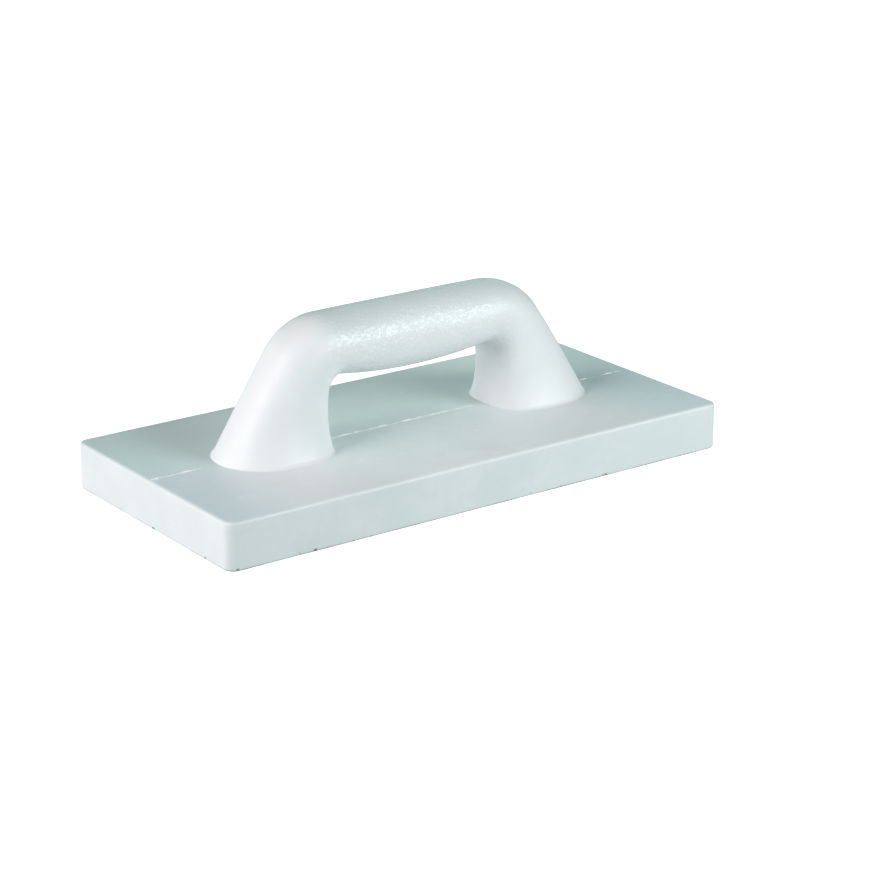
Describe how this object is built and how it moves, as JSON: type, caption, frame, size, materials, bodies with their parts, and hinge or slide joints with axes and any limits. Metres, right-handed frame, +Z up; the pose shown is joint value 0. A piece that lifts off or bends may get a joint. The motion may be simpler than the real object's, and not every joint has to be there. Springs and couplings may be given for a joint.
{
  "type": "plastering hand float",
  "caption": "Hand float for plaster and screed: thick flat rectangular foamed-plastic board with a rounded bridge handle on two flared feet.",
  "frame": {"origin": "centre of the board's underside, the working face", "axes": "+X along the board's length, +Y across it, +Z up out of the board towards the handle"},
  "size_m": [0.27, 0.13, 0.0823],
  "materials": {
    "board_foam": "satin moulded skin, almost smooth, with a soft mottle",
    "handle_foam": "satin moulded skin, smooth on the legs and finely pebbled on the grip",
    "insert_brass": "knurled, machined",
    "screw_steel": "bright zinc plated",
    "washer_steel": "bright zinc plated",
    "plug_plastic": "satin moulded"
  },
  "bodies": {
    "root": {"board": "board_foam", "handle": "handle_foam", "left_insert": "insert_brass", "right_insert": "insert_brass", "left_screw": "screw_steel", "right_screw": "screw_steel", "left_washer": "washer_steel", "right_washer": "washer_steel", "left_plug": "plug_plastic", "right_plug": "plug_plastic"}
  },
  "joints": []
}
